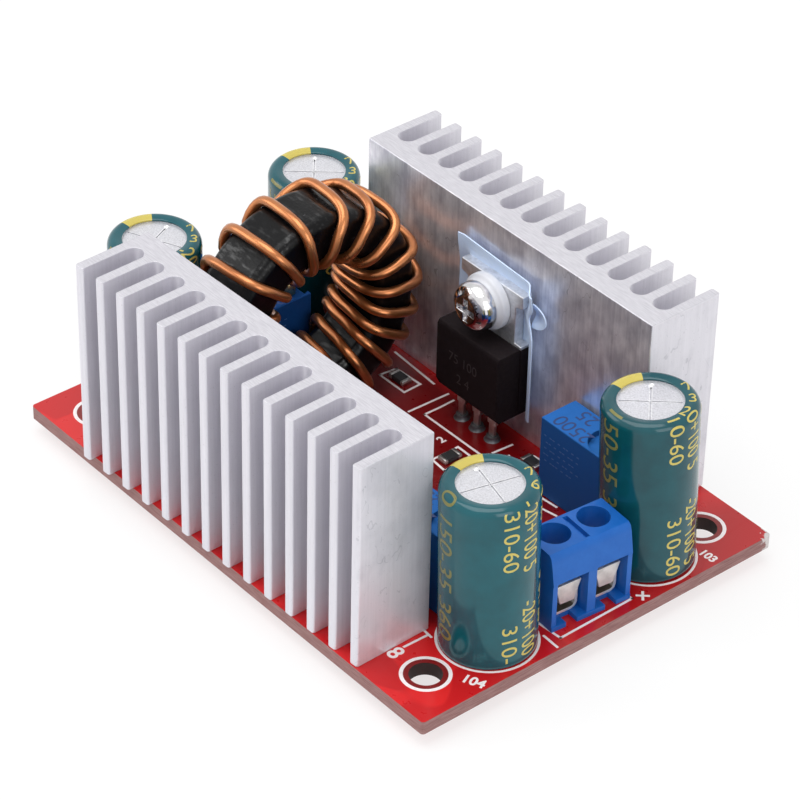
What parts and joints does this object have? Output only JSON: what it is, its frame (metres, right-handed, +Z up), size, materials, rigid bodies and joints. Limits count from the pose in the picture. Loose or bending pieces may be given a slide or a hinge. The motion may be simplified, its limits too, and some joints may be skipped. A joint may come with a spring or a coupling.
{
  "type": "boost converter module",
  "caption": "Boost converter module: red circuit board with finned heatsinks along both sides, a toroidal inductor, radial capacitors, blue wire terminals and trimmers.",
  "frame": {"origin": "middle of the board's underside, between the four corner holes", "axes": "+X to the output end, +Z up from the board, -Y to the heatsink that faces the camera"},
  "size_m": [0.067, 0.0493, 0.031],
  "materials": {
    "red_laminate": "glossy red solder mask",
    "solder": "satin solder",
    "extruded_aluminium": "satin, sawn ends",
    "screw_steel": "bright plated",
    "tinned_metal": "tinned, satin",
    "white_plastic": "matte",
    "blue_pad": "matte silicone",
    "black_moulding": "matte",
    "black_core": "coated, satin",
    "copper_wire": "enamelled copper, glossy",
    "can_aluminium": "bright, scored",
    "green_sleeve": "shrunk film with gold print",
    "blue_housing": "satin",
    "blue_trimmer": "satin",
    "brass_screw": "turned"
  },
  "bodies": {
    "module": {"circuit_board": "red_laminate", "solder_joints": "solder", "front_heatsink": "extruded_aluminium", "rear_heatsink": "extruded_aluminium", "heatsink_screws": "screw_steel", "mosfet_body": "black_moulding", "mosfet_tab": "tinned_metal", "mosfet_leads": "tinned_metal", "mosfet_pad": "blue_pad", "mosfet_bush": "white_plastic", "mosfet_screw": "screw_steel", "rectifier_body": "black_moulding", "rectifier_tab": "tinned_metal", "rectifier_leads": "tinned_metal", "rectifier_pad": "blue_pad", "rectifier_bush": "white_plastic", "rectifier_screw": "screw_steel", "inductor_core": "black_core", "inductor_winding": "copper_wire", "output_front_can": "can_aluminium", "output_front_sleeve": "green_sleeve", "output_front_can_leads": "tinned_metal", "output_rear_can": "can_aluminium", "output_rear_sleeve": "green_sleeve", "output_rear_can_leads": "tinned_metal", "input_front_can": "can_aluminium", "input_front_sleeve": "green_sleeve", "input_front_can_leads": "tinned_metal", "input_rear_can": "can_aluminium", "input_rear_sleeve": "green_sleeve", "input_rear_can_leads": "tinned_metal", "output_terminal_housing": "blue_housing", "output_cages": "tinned_metal", "input_terminal_housing": "blue_housing", "input_cages": "tinned_metal", "voltage_trimmer_body": "blue_trimmer", "voltage_trimmer_pins": "tinned_metal", "current_trimmer_body": "blue_trimmer", "current_trimmer_pins": "tinned_metal", "cutoff_trimmer_body": "blue_trimmer", "cutoff_trimmer_pins": "tinned_metal", "control_ic_body": "black_moulding", "control_ic_leads": "tinned_metal", "chip_bodies": "black_moulding", "chip_ends": "tinned_metal", "current_shunt": "black_moulding"},
    "output_minus_clamp": {"output_minus_leaf": "tinned_metal"},
    "output_minus_driver": {"output_minus_screw": "screw_steel"},
    "output_plus_clamp": {"output_plus_leaf": "tinned_metal"},
    "output_plus_driver": {"output_plus_screw": "screw_steel"},
    "input_minus_clamp": {"input_minus_leaf": "tinned_metal"},
    "input_minus_driver": {"input_minus_screw": "screw_steel"},
    "input_plus_clamp": {"input_plus_leaf": "tinned_metal"},
    "input_plus_driver": {"input_plus_screw": "screw_steel"},
    "voltage_adjuster": {"voltage_trimmer_screw": "brass_screw"},
    "current_adjuster": {"current_trimmer_screw": "brass_screw"},
    "cutoff_adjuster": {"cutoff_trimmer_screw": "brass_screw"}
  },
  "joints": [
    {"name": "output_minus_lift", "type": "slide", "parent": "module", "child": "output_minus_clamp", "axis": [0, 0, -1], "range_m": [-0.001, 0.0005]},
    {"name": "output_minus_turn", "type": "hinge", "parent": "output_minus_clamp", "child": "output_minus_driver", "pos_m": [0.02769, -0.00206, 0.0068], "axis": [0, 0, -1], "range_deg": [-720, 360]},
    {"name": "output_plus_lift", "type": "slide", "parent": "module", "child": "output_plus_clamp", "axis": [0, 0, -1], "range_m": [-0.001, 0.0005]},
    {"name": "output_plus_turn", "type": "hinge", "parent": "output_plus_clamp", "child": "output_plus_driver", "pos_m": [0.02811, 0.00292, 0.0068], "axis": [0, 0, -1], "range_deg": [-720, 360]},
    {"name": "input_minus_lift", "type": "slide", "parent": "module", "child": "input_minus_clamp", "axis": [0, 0, -1], "range_m": [-0.001, 0.0005]},
    {"name": "input_minus_turn", "type": "hinge", "parent": "input_minus_clamp", "child": "input_minus_driver", "pos_m": [-0.02955, 0.0025, 0.0068], "axis": [0, 0, -1], "range_deg": [-720, 360]},
    {"name": "input_plus_lift", "type": "slide", "parent": "module", "child": "input_plus_clamp", "axis": [0, 0, -1], "range_m": [-0.001, 0.0005]},
    {"name": "input_plus_turn", "type": "hinge", "parent": "input_plus_clamp", "child": "input_plus_driver", "pos_m": [-0.02955, -0.0025, 0.0068], "axis": [0, 0, -1], "range_deg": [-720, 360]},
    {"name": "voltage_adjust", "type": "hinge", "parent": "module", "child": "voltage_adjuster", "pos_m": [0.02062, 0.01226, 0.0116], "axis": [0, 0, 1], "continuous": true},
    {"name": "current_adjust", "type": "hinge", "parent": "module", "child": "current_adjuster", "pos_m": [0.02062, -0.00941, 0.0116], "axis": [0, 0, 1], "continuous": true},
    {"name": "cutoff_adjust", "type": "hinge", "parent": "module", "child": "cutoff_adjuster", "pos_m": [-0.023, 0.00325, 0.0116], "axis": [0, 0, 1], "continuous": true}
  ],
  "couplings": [
    {"joint": "output_minus_turn", "follows": "output_minus_lift", "rad_per_m": 12566},
    {"joint": "output_plus_turn", "follows": "output_plus_lift", "rad_per_m": 12566},
    {"joint": "input_minus_turn", "follows": "input_minus_lift", "rad_per_m": 12566},
    {"joint": "input_plus_turn", "follows": "input_plus_lift", "rad_per_m": 12566}
  ]
}
